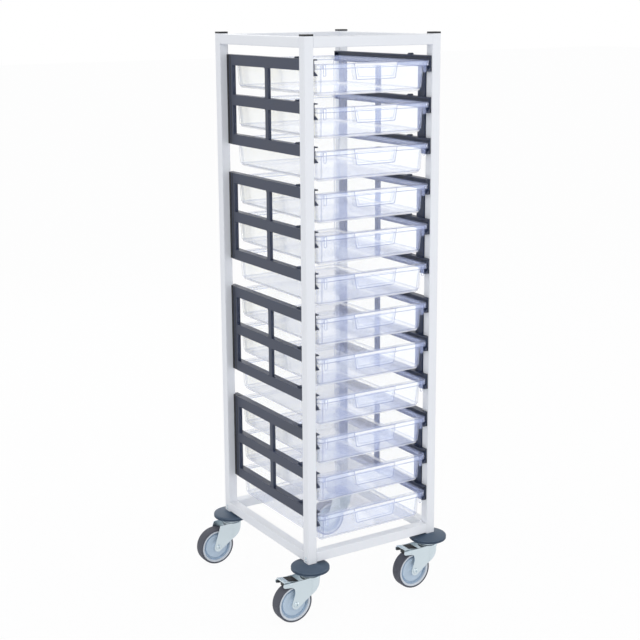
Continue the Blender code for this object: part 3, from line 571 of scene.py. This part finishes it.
# Trays: an open moulded shell with a turned-down rim, a pull with raised outlines, and two tabs.
# The bends are radii, and the holds are rows beside them that keep the walls flat.
tray = {"bodyX": 0.1572, "bodyY": 0.1995, "rimX": 0.007, "rimY": 0.014, "corner": 0.012, "height": 0.075,
        "wall": 0.0022, "draft": 0.007, "drop": 0.0125, "baseEdge": 0.007, "baseThin": 0.001,
        "cornerGrow": 0.6, "rimGrow": 0.003, "innerBend": 0.0016, "outerBend": 0.0012, "hemBend": 0.0007,
        "underBend": 0.0015, "hold": 0.003, "wallHold": 0.004, "rimHold": 0.0032, "hemHold": 0.0025,
        "underHold": (-0.0006, 0.006), "footHold": (0.0024, 0.95),
        "uprightPaintedLine": (0, 0.45, 0.1, 0, 0, 0, 0.1, 0.45, 0)}
pull = {"top": 0.127, "bottom": 0.113, "high": 0.040, "proud": 0.0012, "edge": 0.0006, "sunk": 0.0003,
        "soft": (0.005, 0.005, 0.0015, 0.0015), "outline": 0.0020, "outlineRise": 0.0006,
        "border": 0.0065, "borderTop": 0.001, "innerSoft": (0.003, 0.003, 0.002, 0.002),
        "innerLine": 0.0012, "bar": (0.0075, 0.0012), "barShort": (0.0065, 0.0045), "barSoft": 0.0018,
        "cheekHalf": 0.0011, "cheekLow": 0.0004, "cheekIn": 0.0022, "cheekSoft": 0.0004,
        "cheekEdge": 0.0003, "tabX": 0.1445, "tabHalf": 0.0042, "tabHigh": 0.029, "tabTop": 0.0015,
        "tabSoft": 0.004, "tabDeep": (0.0002, 0.0022), "tabLine": 0.0015}


def bendRows(outset, share, height, radius, start, end, paintedRowMarks):
    # rows round a bend of the tray's profile: outset from the body, share of the rim's width, height
    # and painted mark, which is above zero for a painted grey edge line and below zero for a painted white
    # highlight
    a = np.linspace(start, end, len(paintedRowMarks))
    bend = arcPoints((outset, height), radius, a)
    return np.stack([bend[:, 0], np.full(len(a), share), bend[:, 1], paintedRowMarks], 1)


def trayShell(t):
    # a profile from the inner floor up over the rim and back down to the base, carried round the
    # rounded rectangle
    wall, high, draft, edge, pi = t["wall"], t["height"], t["draft"], t["baseEdge"], math.pi
    skirt, inner, foot = high - t["drop"], edge - t["baseThin"], -draft - edge
    rim, lip, hem, under = t["innerBend"], t["outerBend"], t["hemBend"], t["underBend"]
    hold, hemHold = t["hold"], t["hemHold"]
    upperOut, upperDown = t["underHold"]
    lowerOut, lowerShare = t["footHold"]
    rows = np.concatenate([
        bendRows(-draft - wall - inner, 0, wall + inner, inner, -pi / 2, 0, (0.5, 0.1, 0, 0, 0)),
        [(-wall, 0, high - t["wallHold"], 0)],
        bendRows(rim - wall, 0, high - rim, rim, pi, pi / 2, (0.3, 0.5, 0.5, 0.5, 0.3)),
        [(hold, 0, high, 0), (-hold, 1, high, 0)],
        bendRows(-lip, 1, high - lip, lip, pi / 2, 0, (0.7, 0.8, 0.8, 0.8, 0.7)),
        [(0, 1, high - t["rimHold"], 0), (0, 1, skirt + hemHold, 0)],
        bendRows(-hem, 1, skirt + hem, hem, 0, -pi / 2, (0.8, 0.9, 0.9)),
        bendRows(hem - wall, 1, skirt + hem, hem, -pi / 2, -pi, (0.9, 0.9, 0.8)),
        [(-wall, 1, skirt + hemHold, 0)],
        bendRows(-wall - lip, 1, high - wall - lip, lip, 0, pi / 2, (0, 0, 0, 0, 0)),
        bendRows(under, 0, high - wall - under, under, pi / 2, pi, (0.3, 0.3, 0.3, 0.3, 0.3)),
        [(upperOut, 0, high - wall - upperDown, 0), (lowerOut - draft * lowerShare, 0, edge + hold, 0)],
        bendRows(foot, 0, edge, edge, 0, -pi / 2, (0.8, -0.5, -0.7, -0.5, 0.9)),
        [(foot - hold, 0, 0, 0)]])
    outset, share, height, line = rows.T
    shape = np.stack([t["bodyX"] + outset + share * t["rimX"], t["bodyY"] + outset + share * t["rimY"],
                      t["corner"] + outset * t["cornerGrow"] + share * t["rimGrow"], height], 1)
    points, count, around = roundRings(shape)
    # grey lines painted down the corners and along the bends, and a painted white highlight along the foot
    upright = np.tile(t["uprightPaintedLine"], 4)
    paintedTone = np.zeros((count, around, 3))
    paintedTone[..., 0] = np.maximum(line[:, None], upright[None])
    paintedTone[..., 1] = np.maximum(-line[:, None], 0)
    return points, closedFaces(count, around), paintedTone.reshape(-1, 3)


def trapezoid(bottom, top, low, high, soft):
    # bottom and top widths about the middle, between two heights, with every corner bent round
    corners = [(-bottom / 2, low), (bottom / 2, low), (top / 2, high), (-top / 2, high)]
    return fillet(corners, soft, 5)


def frontWall(t, z):
    # middle of the front wall at a height: it leans in by the draft from the top down to the floor
    return -t["bodyY"] + t["draft"] * (1 - z / t["height"]) + t["wall"] / 2


def trayPull(t, p):
    # the trapezoid front with its two raised outlines and top bar
    low, high = t["height"] - p["high"], t["height"]
    front = -t["bodyY"] - t["rimY"] - p["proud"]
    sunk, border = front + p["sunk"], p["border"]
    face = front - p["outlineRise"] + p["sunk"]
    rim = trapezoid(p["bottom"], p["top"], low, high, p["soft"])
    inner = trapezoid(p["bottom"] - 2 * border, p["top"] - 2 * border, low + border,
                      high - border - p["borderTop"], p["innerSoft"])
    barHigh, barDown = p["bar"]
    barBottom, barTop = (p["top"] - short for short in p["barShort"])
    bar = trapezoid(barBottom, barTop, high - barHigh, high - barDown, p["barSoft"])
    # the outlines carry painted grey edge lines, the top bar a painted white highlight
    return [toned(prism(rim, front, front + t["wall"], "y", p["edge"])),
            toned(hoop(inset(rim, p["sunk"]), inset(rim, p["outline"]), sunk, face, "y"), line=0.75),
            toned(hoop(inner, inset(inner, p["innerLine"]), sunk, face, "y"), line=0.45),
            toned(prism(bar, face, sunk, "y"), bar=1.0)]


def trayTabs(t, p):
    # the two cheeks behind the pull, slanted as its sides are, and the tabs near the corners
    low, high, half = t["height"] - p["high"], t["height"], p["cheekHalf"]
    front = -t["bodyY"] - t["rimY"] - p["proud"]
    skirt = front + p["proud"]
    cheek = [(front + half, low + p["cheekLow"]), (frontWall(t, low), low + p["cheekLow"]),
             (frontWall(t, high), high - half), (front + half, high - half)]
    tab = rect(-p["tabHalf"], high - p["tabHigh"], p["tabHalf"], high - p["tabTop"], p["tabSoft"], 6)
    tabFront, tabRear = p["tabDeep"]
    slant = (p["top"] - p["bottom"]) / 2 / p["high"]
    middle = (p["top"] + p["bottom"]) / 4 - p["cheekIn"]
    parts = []
    for side in (-1, 1):
        points, faces = prism(fillet(cheek, p["cheekSoft"], 3), -half, half, "x", p["cheekEdge"])
        points[:, 0] += side * (middle + slant * (points[:, 2] - (low + high) / 2))
        # cheeks and tab outlines carry painted grey edge lines
        parts.append(toned((points, faces), line=0.1))
        shift = (side * p["tabX"], 0, 0)
        body = prism(tab, skirt + tabFront, skirt + tabRear, "y")
        line = hoop(tab, inset(tab, p["tabLine"]), skirt + p["sunk"], skirt - tabFront, "y")
        parts += [toned(moved(body, shift)), toned(moved(line, shift), line=0.7)]
    return parts


trayParts = [trayShell(tray)] + trayPull(tray, pull) + trayTabs(tray, pull)
for number in range(1, 13):
    node = f"tray_{number:02d}"
    low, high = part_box(node)
    place = ((low.x + high.x) / 2, high.y - tray["bodyY"] - tray["rimY"], high.z - tray["height"])
    parts = [moved(part, place) for part in trayParts]
    makePiece(f"clear_tray_{number:02d}", parts, trayPlastic, node + "_body", [node])
print("trays done")


# Castors, drawn about the swivel axis with the floor at zero and the wheel trailing to the left
castor = {"trail": 0.054, "wheel": 0.050, "half": 0.016, "seat": 0.045, "forkIn": 0.019, "sheet": 0.0025,
          "eye": 0.0125, "eyeTurn": (165, 318), "nose": 0.026, "noseLong": 0.034, "noseHeight": 0.080,
          "noseSoft": 0.0006, "knee": (-0.010, 0.065), "waist": (-0.056, 0.082), "legTop": 0.046,
          "legSoft": (0, 0.003, 0), "armSoft": (0, 0.004, 0.005, 0.009, 0.02, 0), "armEnd": 0.090,
          "armRoot": 0.060, "armDepth": 0.014, "armTaper": 0.004, "pin": (-0.070, 0.1075),
          "pinRadius": 0.003, "pinEdge": 0.0006, "pinProud": 0.0003, "lap": 0.001,
          "crownTop": 0.1124, "crownThick": 0.008, "crown": (0.0065, 0.0258),
          "crownSoft": (0.0004, 0.003, 0.002, 0.0004), "emboss": (-0.0745, 0.1048, 0.0105, 0.0040),
          "embossSoft": 0.0038, "embossLine": 0.0016, "embossRise": 0.0006, "embossSunk": 0.0002,
          "axleHead": ((0.0, 0.0006), (0.0022, 0.0006), (0.0026, 0.0030), (0.0046, 0.0029),
                       (0.0064, 0.0022), (0.0074, 0.0010), (0.0075, -0.0004), (0.005, -0.0008))}
forkOut = castor["forkIn"] + castor["sheet"]
forkHigh = castor["crownTop"] - castor["lap"]
bendX = castor["nose"] - castor["noseLong"]  # where the flat cheeks run into the round nose

# Turned profiles as (radius, height); rim and foot are a centre and a radius
bumperShape = {"crown": ((0.0068, 0.0197), (0.0190, 0.0197), (0.0205, 0.0180), (0.0300, 0.0160),
                         (0.0430, 0.0140), (0.0470, 0.0126)),
               "rim": ((0.0460, 0.0098), 0.0030), "foot": ((0.0465, 0.0050), 0.0025),
               "under": ((0.0380, 0.0018), (0.0300, 0.0003), (0.0068, 0.0003))}
headShape = {"cup": ((0.0, 0.1217), (0.0150, 0.1217), (0.0155, 0.1180), (0.0232, 0.1168),
                     (0.0240, 0.1127), (0.0, 0.1127)),
             "cupSoft": (0, 0.001, 0.001, 0.0012, 0.0008, 0),
             "rivet": ((0.0, 0.1150), (0.006, 0.1150), (0.006, 0.1041), (0.010, 0.1039),
                       (0.0096, 0.1026), (0.007, 0.1017), (0.0, 0.1016)),
             "stem": ((0.0, 0.1800), (0.006, 0.1800), (0.006, 0.1190), (0.0, 0.1190))}
# Wheel profiles as (radius, half width)
wheelShape = {"rim": ((0.0054, 0.0), (0.0054, 0.0172), (0.0085, 0.0175), (0.0128, 0.0168),
                      (0.0140, 0.0122), (0.0180, 0.0108), (0.0325, 0.0098), (0.0342, 0.0040),
                      (0.0378, 0.0040), (0.0390, 0.0108), (0.0396, 0.0118), (0.0397, 0.0)),
              "ring": ((0.0392, 0.0), (0.0392, 0.0134), (0.0404, 0.0147), (0.0437, 0.0151),
                       (0.0448, 0.0143), (0.0448, 0.0)),
              "rimSoft": 0.0009, "ringSoft": 0.0007, "tyreSoft": 0.0014, "steps": 112}


def bumperPart(shape):
    # a flat disc with a soft rim 9 mm deep, its top rising slightly to a boss under the tube
    rim = arcPoints(*shape["rim"], np.linspace(0.9, -math.pi / 2, 8))
    foot = arcPoints(*shape["foot"], np.linspace(0, -math.pi / 2, 5))
    return turned(np.concatenate([shape["crown"], rim, foot, shape["under"]]), 96)


def noseEdge(x):
    # lower edge of the fork from the knee to the front: a quadratic curve, solved for x
    front = castor["nose"] + castor["lap"]
    kneeX, kneeZ = castor["knee"]
    back = np.sqrt(np.clip((front - x) / (front - kneeX), 0, 1))
    t = 1 - back
    return back ** 2 * kneeZ + 2 * t * back * castor["noseHeight"] + t ** 2 * forkHigh


def sideOutline(braked):
    # the fork seen from the side: round the axle eye, up the nose, back to the leg or the pedal arm
    c = castor
    eye = arcPoints((-c["trail"], c["wheel"]), c["eye"], np.radians(np.linspace(*c["eyeTurn"], 14)))
    x = np.linspace(c["knee"][0], bendX, 6)
    lead = np.stack([x, noseEdge(x)], 1)
    under = forkHigh - c["armDepth"]
    if braked:
        chain = [(bendX, forkHigh), (-c["armEnd"], forkHigh), (-c["armEnd"], under + c["armTaper"]),
                 (-c["armRoot"], under), c["waist"], tuple(eye[0])]
        soft = c["armSoft"]
    else:
        chain = [(bendX, forkHigh), (-c["legTop"], forkHigh), tuple(eye[0])]
        soft = c["legSoft"]
    tail = fillet(chain, soft, 7).reshape(len(chain), 7, 2)[1:-1].reshape(-1, 2)
    return np.concatenate([eye, lead, [(bendX, forkHigh)], tail])


def nosePart():
    # half an oval cylinder between the cheeks, cut off below along the nose edge
    noseLong, sheet, soft = castor["noseLong"], castor["sheet"], castor["noseSoft"]
    angle = np.linspace(-math.pi / 2, math.pi / 2, 33)
    low = noseEdge(bendX + noseLong * np.cos(angle))
    high = np.full_like(low, forkHigh)
    deep = np.array([soft, 0, 0, soft, sheet, sheet])[:, None]
    height = np.stack([low, low + soft, high - soft, high, high, low])
    x, y = bendX + (noseLong - deep) * np.cos(angle), (forkOut - deep) * np.sin(angle)
    points = np.stack([x, y, height], -1)
    rows, columns = height.shape
    faces = gridFaces(rows, columns, True, False)
    faces += [[k * columns for k in range(rows)], [k * columns + columns - 1 for k in range(rows)]]
    return points.reshape(-1, 3), faces


def forkParts(braked):
    # two cheeks of sheet cut to the side outline, the nose between them, a turned crown and the axle's
    # heads; the braked fork has a raised oval line on both arms
    c = castor
    outline = sideOutline(braked)
    parts = [prism(outline, -forkOut, -c["forkIn"], "y"), prism(outline, c["forkIn"], forkOut, "y")]
    parts.append(nosePart())
    low, top = c["crownTop"] - c["crownThick"], c["crownTop"]
    bore, edge = c["crown"]
    crown = fillet([(bore, top), (edge, top), (edge, low), (bore, low)], c["crownSoft"], 5)
    parts.append(turned(crown, 64))
    half = np.array(c["axleHead"]) + (0, forkOut)
    axle = np.concatenate([half * (1, -1), half[::-1]])
    parts.append(moved(turned(axle, 32, "y", closed=False), (-c["trail"], 0, c["wheel"])))
    if braked:
        x, z, halfLong, halfHigh = c["emboss"]
        outer = square(halfLong, halfHigh, c["embossSoft"], (x, z), 7)
        for side in (-1, 1):
            low, high = sorted((side * (forkOut - c["embossSunk"]), side * (forkOut + c["embossRise"])))
            parts.append(hoop(outer, inset(outer, c["embossLine"]), low, high, "y"))
    return parts


def headParts(shape):
    # bearing cup over a wider dust ring, the king pin and the rivet head under the crown
    cup = fillet(shape["cup"], shape["cupSoft"], 4)[4:-4]
    profiles = ((cup, 64), (shape["rivet"], 32), (shape["stem"], 24))
    return [turned(profile, steps, closed=False) for profile, steps in profiles]


def wheelTurned(upper, soft):
    # a profile of (radius, half width), repeated on the other side of the middle and turned about y
    upper = np.asarray(upper, float)
    both = np.concatenate([upper, upper[-2:0:-1] * (1, -1)])
    return turned(fillet(both, soft[0], soft[1]), wheelShape["steps"], "y")


def tyrePart():
    # tread with a low crown and round shoulders, and a thin side that laps the rim
    r, half, seat = castor["wheel"], castor["half"], castor["seat"]
    upper = [(seat, 0.0), (seat, 0.0146), (seat + 0.0007, 0.0156), (seat + 0.0017, half),
             (r - 0.0020, half - 0.0005), (r - 0.0006, half - 0.0025), (r - 0.0001, half - 0.0070),
             (r, 0.0)]
    return wheelTurned(upper, (wheelShape["tyreSoft"], 4))


# Pedal and shoe, drawn about the pedal's pin; outlines are (x, z) before the tilt
pedalShape = {"tilt": 9, "half": 0.0172, "plateSoft": 0.0008, "ribs": (-0.0110, -0.0037, 0.0037, 0.0110),
              "ribHalf": 0.0016, "ribSoft": 0.0006, "ribEdge": 0.0007, "flanges": (-0.0162, 0.0162),
              "flangeHalf": 0.0008, "flangeSoft": 0.0012, "flangeEdge": 0.0004,
              "barrel": (0.0033, 0.0053), "barrelHalf": 0.0164, "barrelSoft": 0.0004,
              "plate": ((-0.0150, 0.0042), (0.0255, 0.0042), (0.0255, 0.0066), (-0.0190, 0.0066),
                        (-0.0202, 0.0058), (-0.0202, 0.0046), (-0.0190, 0.0042)),
              "rib": ((-0.0165, 0.0063), (-0.0060, 0.0063), (-0.0068, 0.0076), (-0.0157, 0.0076)),
              "flange": ((-0.0150, -0.0018), (0.0180, 0.0005), (0.0250, 0.0045), (-0.0175, 0.0045))}
shoeShape = {"x": (-0.001, -0.0105), "top": (0.0044, 0.0056), "gap": 0.0050, "half": 0.0115, "soft": 0.0006,
             # the pad entries: a black pad of painted shade over the plate's inner half
             "edge": 0.0008, "shadePadHalf": 0.0150, "shadePadSoft": 0.0005, "shadePadEdge": 0.0006,
             "shadePad": ((-0.0030, 0.0062), (0.0245, 0.0062), (0.0240, 0.0074), (-0.0024, 0.0074))}
pedalTilt = math.radians(pedalShape["tilt"])
tiltCos, tiltSin = math.cos(pedalTilt), math.sin(pedalTilt)
pedalTurn = np.array([(tiltCos, -tiltSin), (tiltSin, tiltCos)])


def tilted(outline, soft, steps):
    # an outline turned by the pedal's tilt about the pin, with every corner bent round
    return fillet(np.array(outline) @ pedalTurn, soft, steps)


def pedalParts(p):
    # a pressed plate with ribs, a thin tip and side flanges, tilted about its pin, and its barrel
    half, rib, flange, wide = p["half"], p["ribHalf"], p["flangeHalf"], p["barrelHalf"]
    plate = tilted(p["plate"], p["plateSoft"], 4)
    ridge = tilted(p["rib"], p["ribSoft"], 3)
    cheek = tilted(p["flange"], p["flangeSoft"], 3)
    parts = [prism(plate, -half, half, "y")]
    parts += [prism(ridge, y - rib, y + rib, "y", p["ribEdge"]) for y in p["ribs"]]
    parts += [prism(cheek, y - flange, y + flange, "y", p["flangeEdge"]) for y in p["flanges"]]
    bore, outer = p["barrel"]
    barrel = fillet([(bore, wide), (outer, wide), (outer, -wide), (bore, -wide)], p["barrelSoft"], 3)
    return parts + [turned(barrel, 28, "y")]


def shoeParts(s):
    # a block under the pedal whose lower face is a circle round the axle, a gap outside the tyre,
    # and a black pad on the plate behind its ribs, painted shade for the dark seen over the plate's inner
    # half
    pinX, pinZ = castor["pin"]
    first, last = s["x"]
    topFirst, topLast = s["top"]
    x = np.linspace(first, last, 7)
    clear = castor["wheel"] + s["gap"]
    under = castor["wheel"] + np.sqrt(clear ** 2 - (pinX + x + castor["trail"]) ** 2) - pinZ
    outline = np.concatenate([np.stack([x, under], 1), [(last, topLast), (first, topFirst)]])
    block = prism(fillet(outline, s["soft"], 3), -s["half"], s["half"], "y", s["edge"])
    shadePad = prism(tilted(s["shadePad"], s["shadePadSoft"], 3), -s["shadePadHalf"], s["shadePadHalf"], "y", s["shadePadEdge"])
    return [block, shadePad]


def pinPart():
    # a turned pin through both arms, its ends slightly drawn in
    reach, radius, edge = forkOut + castor["pinProud"], castor["pinRadius"], castor["pinEdge"]
    profile = [(0.0, -reach), (radius - edge, -reach), (radius, -reach + edge), (radius, reach - edge),
               (radius - edge, reach), (0.0, reach)]
    return turned(profile, 24, "y", closed=False)


forks = {True: forkParts(True), False: forkParts(False)}
disc, heads, tyre = bumperPart(bumperShape), headParts(headShape), tyrePart()
rim = wheelTurned(wheelShape["rim"], (wheelShape["rimSoft"], 3))  # dished, with a groove before the ring
ring = wheelTurned(wheelShape["ring"], (wheelShape["ringSoft"], 3))  # the paler band beside the tread
pedal, shoe, pin = pedalParts(pedalShape), shoeParts(shoeShape), pinPart()
for name, (x, y) in postAxis.items():
    braked = "front" in name
    foot = (x, y, 0)
    boss = (x, y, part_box("bumper_" + name)[0].z)
    hub = (x - castor["trail"], y, castor["wheel"])
    hinge = (x + castor["pin"][0], y, castor["pin"][1])
    fork, wheel, lever = "castor_" + name, "wheel_" + name, "pedal_" + name
    # piece, parts, place, material, body, node it stands for, material slot
    pieces = [("bumper_disc_", [disc], boss, bumperPlastic, "frame", "bumper_", "bumper"),
              ("swivel_head_", heads, foot, zincPlate, "frame", "castor_head_", "zinc"),
              ("fork_", forks[braked], foot, zincPlate, fork, "castor_fork_", "zinc"),
              ("tread_", [tyre], hub, treadRubber, wheel, "tyre_", "tread"),
              ("rim_", [rim], hub, wheelPlastic, wheel, "wheel_centre_", "wheel_plastic"),
              ("rim_ring_", [ring], hub, ringPlastic, wheel, None, "wheel_plastic")]
    if braked:
        pieces += [("pedal_plate_", pedal, hinge, zincPlate, lever, "brake_pedal_", "zinc"),
                   # the shoe's pieces include the black pad of painted shade
                   ("brake_shoe_and_shade_pad_", shoe, hinge, shoeAndShadePadPlastic, lever, None, "tread"),
                   ("pedal_pin_", [pin], hinge, zincPlate, fork, "brake_pin_", "zinc")]
    for piece, shapes, place, material, body, node, slot in pieces:
        stands = [node + name] if node else []
        makePiece(piece + name, [moved(shape, place) for shape in shapes], material, body, stands)
print("castors done")


# Stage: a pale floor that keeps a faint shadow, a white surround, and soft lamps as (place, width, power)
stageSetup = {"floor": "f4f5f8", "floorHalf": 30, "whiteShare": 0.95, "surround": 0.76, "aimHeight": 0.75,
              "lamps": {"key": ((-2.3, -3.0, 3.2), 1.8, 30), "fill": ((3.0, -2.4, 0.90), 0.9, 12),
                        "rear": ((0.6, 3.0, 2.6), 2.4, 18)}}


def cameraRays(tree):
    # 1 for what the camera sees, directly, mirrored or through clear plastic
    path = addNode(tree, "ShaderNodeLightPath")
    seen = addNode(tree, "ShaderNodeMath", {"operation": "MAXIMUM"},
                   [(0, path, "Is Camera Ray"), (1, path, "Is Glossy Ray")])
    return addNode(tree, "ShaderNodeMath", {"operation": "MAXIMUM"},
                   [(0, seen, "Value"), (1, path, "Is Transmission Ray")])


def makeFloor(setup):
    # one wide square, white to the camera apart from a small share that takes the shadow
    half = setup["floorHalf"]
    mesh = bpy.data.meshes.new("floor")
    corners = [(-half, -half, 0), (half, -half, 0), (half, half, 0), (-half, half, 0)]
    mesh.from_pydata(corners, [], [(0, 1, 2, 3)])
    floor = bpy.data.objects.new("floor", mesh)
    scene.collection.objects.link(floor)
    material = bpy.data.materials.new("paleFloor")
    material.use_nodes = True
    tree = material.node_tree
    tree.nodes.clear()
    matt = addNode(tree, "ShaderNodeBsdfDiffuse", {"Color": linear(setup["floor"])})
    glow = addNode(tree, "ShaderNodeEmission", {"Color": linear("ffffff"), "Strength": 1.0})
    seen = cameraRays(tree)
    share = addNode(tree, "ShaderNodeMath", {"operation": "MULTIPLY", 1: setup["whiteShare"]},
                    [(0, seen, "Value")])
    both = addNode(tree, "ShaderNodeMixShader", (),
                   [(0, share, "Value"), (1, matt, "BSDF"), (2, glow, "Emission")])
    addNode(tree, "ShaderNodeOutputMaterial", (), [("Surface", both, "Shader")])
    mesh.materials.append(material)


def makeLight(setup):
    # a surround that is white to the camera and a little lower as light, and lamps aimed at the middle
    world = bpy.data.worlds.new("surround")
    scene.world = world
    world.use_nodes = True
    tree = world.node_tree
    tree.nodes.clear()
    seen = cameraRays(tree)
    level = addNode(tree, "ShaderNodeMapRange", {"To Min": setup["surround"], "To Max": 1.0},
                    [("Value", seen, "Value")])
    back = addNode(tree, "ShaderNodeBackground", {"Color": linear("ffffff")},
                   [("Strength", level, "Result")])
    addNode(tree, "ShaderNodeOutputWorld", (), [("Surface", back, "Background")])
    aim = Vector((middleX, 0, setup["aimHeight"]))
    for name, (place, size, power) in setup["lamps"].items():
        data = bpy.data.lights.new(name, "AREA")
        data.shape = "DISK"
        data.size = size
        data.energy = power
        lamp = bpy.data.objects.new(name, data)
        scene.collection.objects.link(lamp)
        lamp.location = place
        lamp.rotation_euler = (aim - Vector(place)).to_track_quat("-Z", "Y").to_euler()


makeFloor(stageSetup)
makeLight(stageSetup)
scene.view_settings.view_transform = "Standard"
scene.cycles.transparent_max_bounces = 48
print("stage done")
